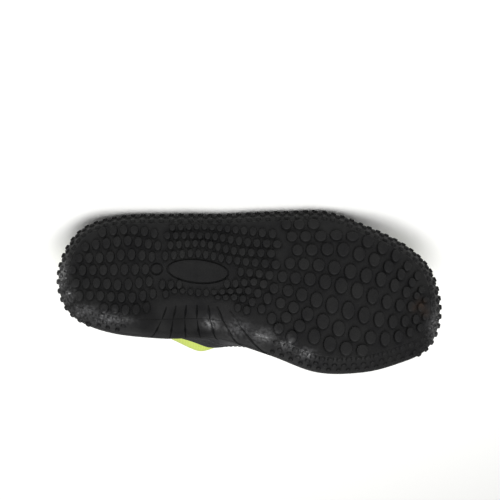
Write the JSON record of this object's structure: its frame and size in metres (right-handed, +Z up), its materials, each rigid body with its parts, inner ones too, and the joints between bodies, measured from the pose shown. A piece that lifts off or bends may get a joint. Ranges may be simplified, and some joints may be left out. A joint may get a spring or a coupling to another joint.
{
  "type": "water shoe",
  "caption": "Slip-on water shoe lying on its outer side: studded rubber cup sole, stretch upper with a dark rand, bound collar and insole.",
  "frame": {"origin": "middle of the bounding box, on the floor that the shoe lies on", "axes": "+Z up from the floor, +X from toe to heel, +Y from the sole's tread towards the collar; the inner side of the foot is uppermost"},
  "size_m": [0.2732, 0.0974, 0.1106],
  "materials": {
    "outsole": "satin",
    "upper": "matte",
    "side_overlay": "satin",
    "collar_binding": "matte",
    "insole": "matte"
  },
  "bodies": {
    "root": {"outsole": "outsole", "upper": "upper", "side_overlay": "side_overlay", "collar_binding": "collar_binding", "insole": "insole"}
  },
  "joints": []
}
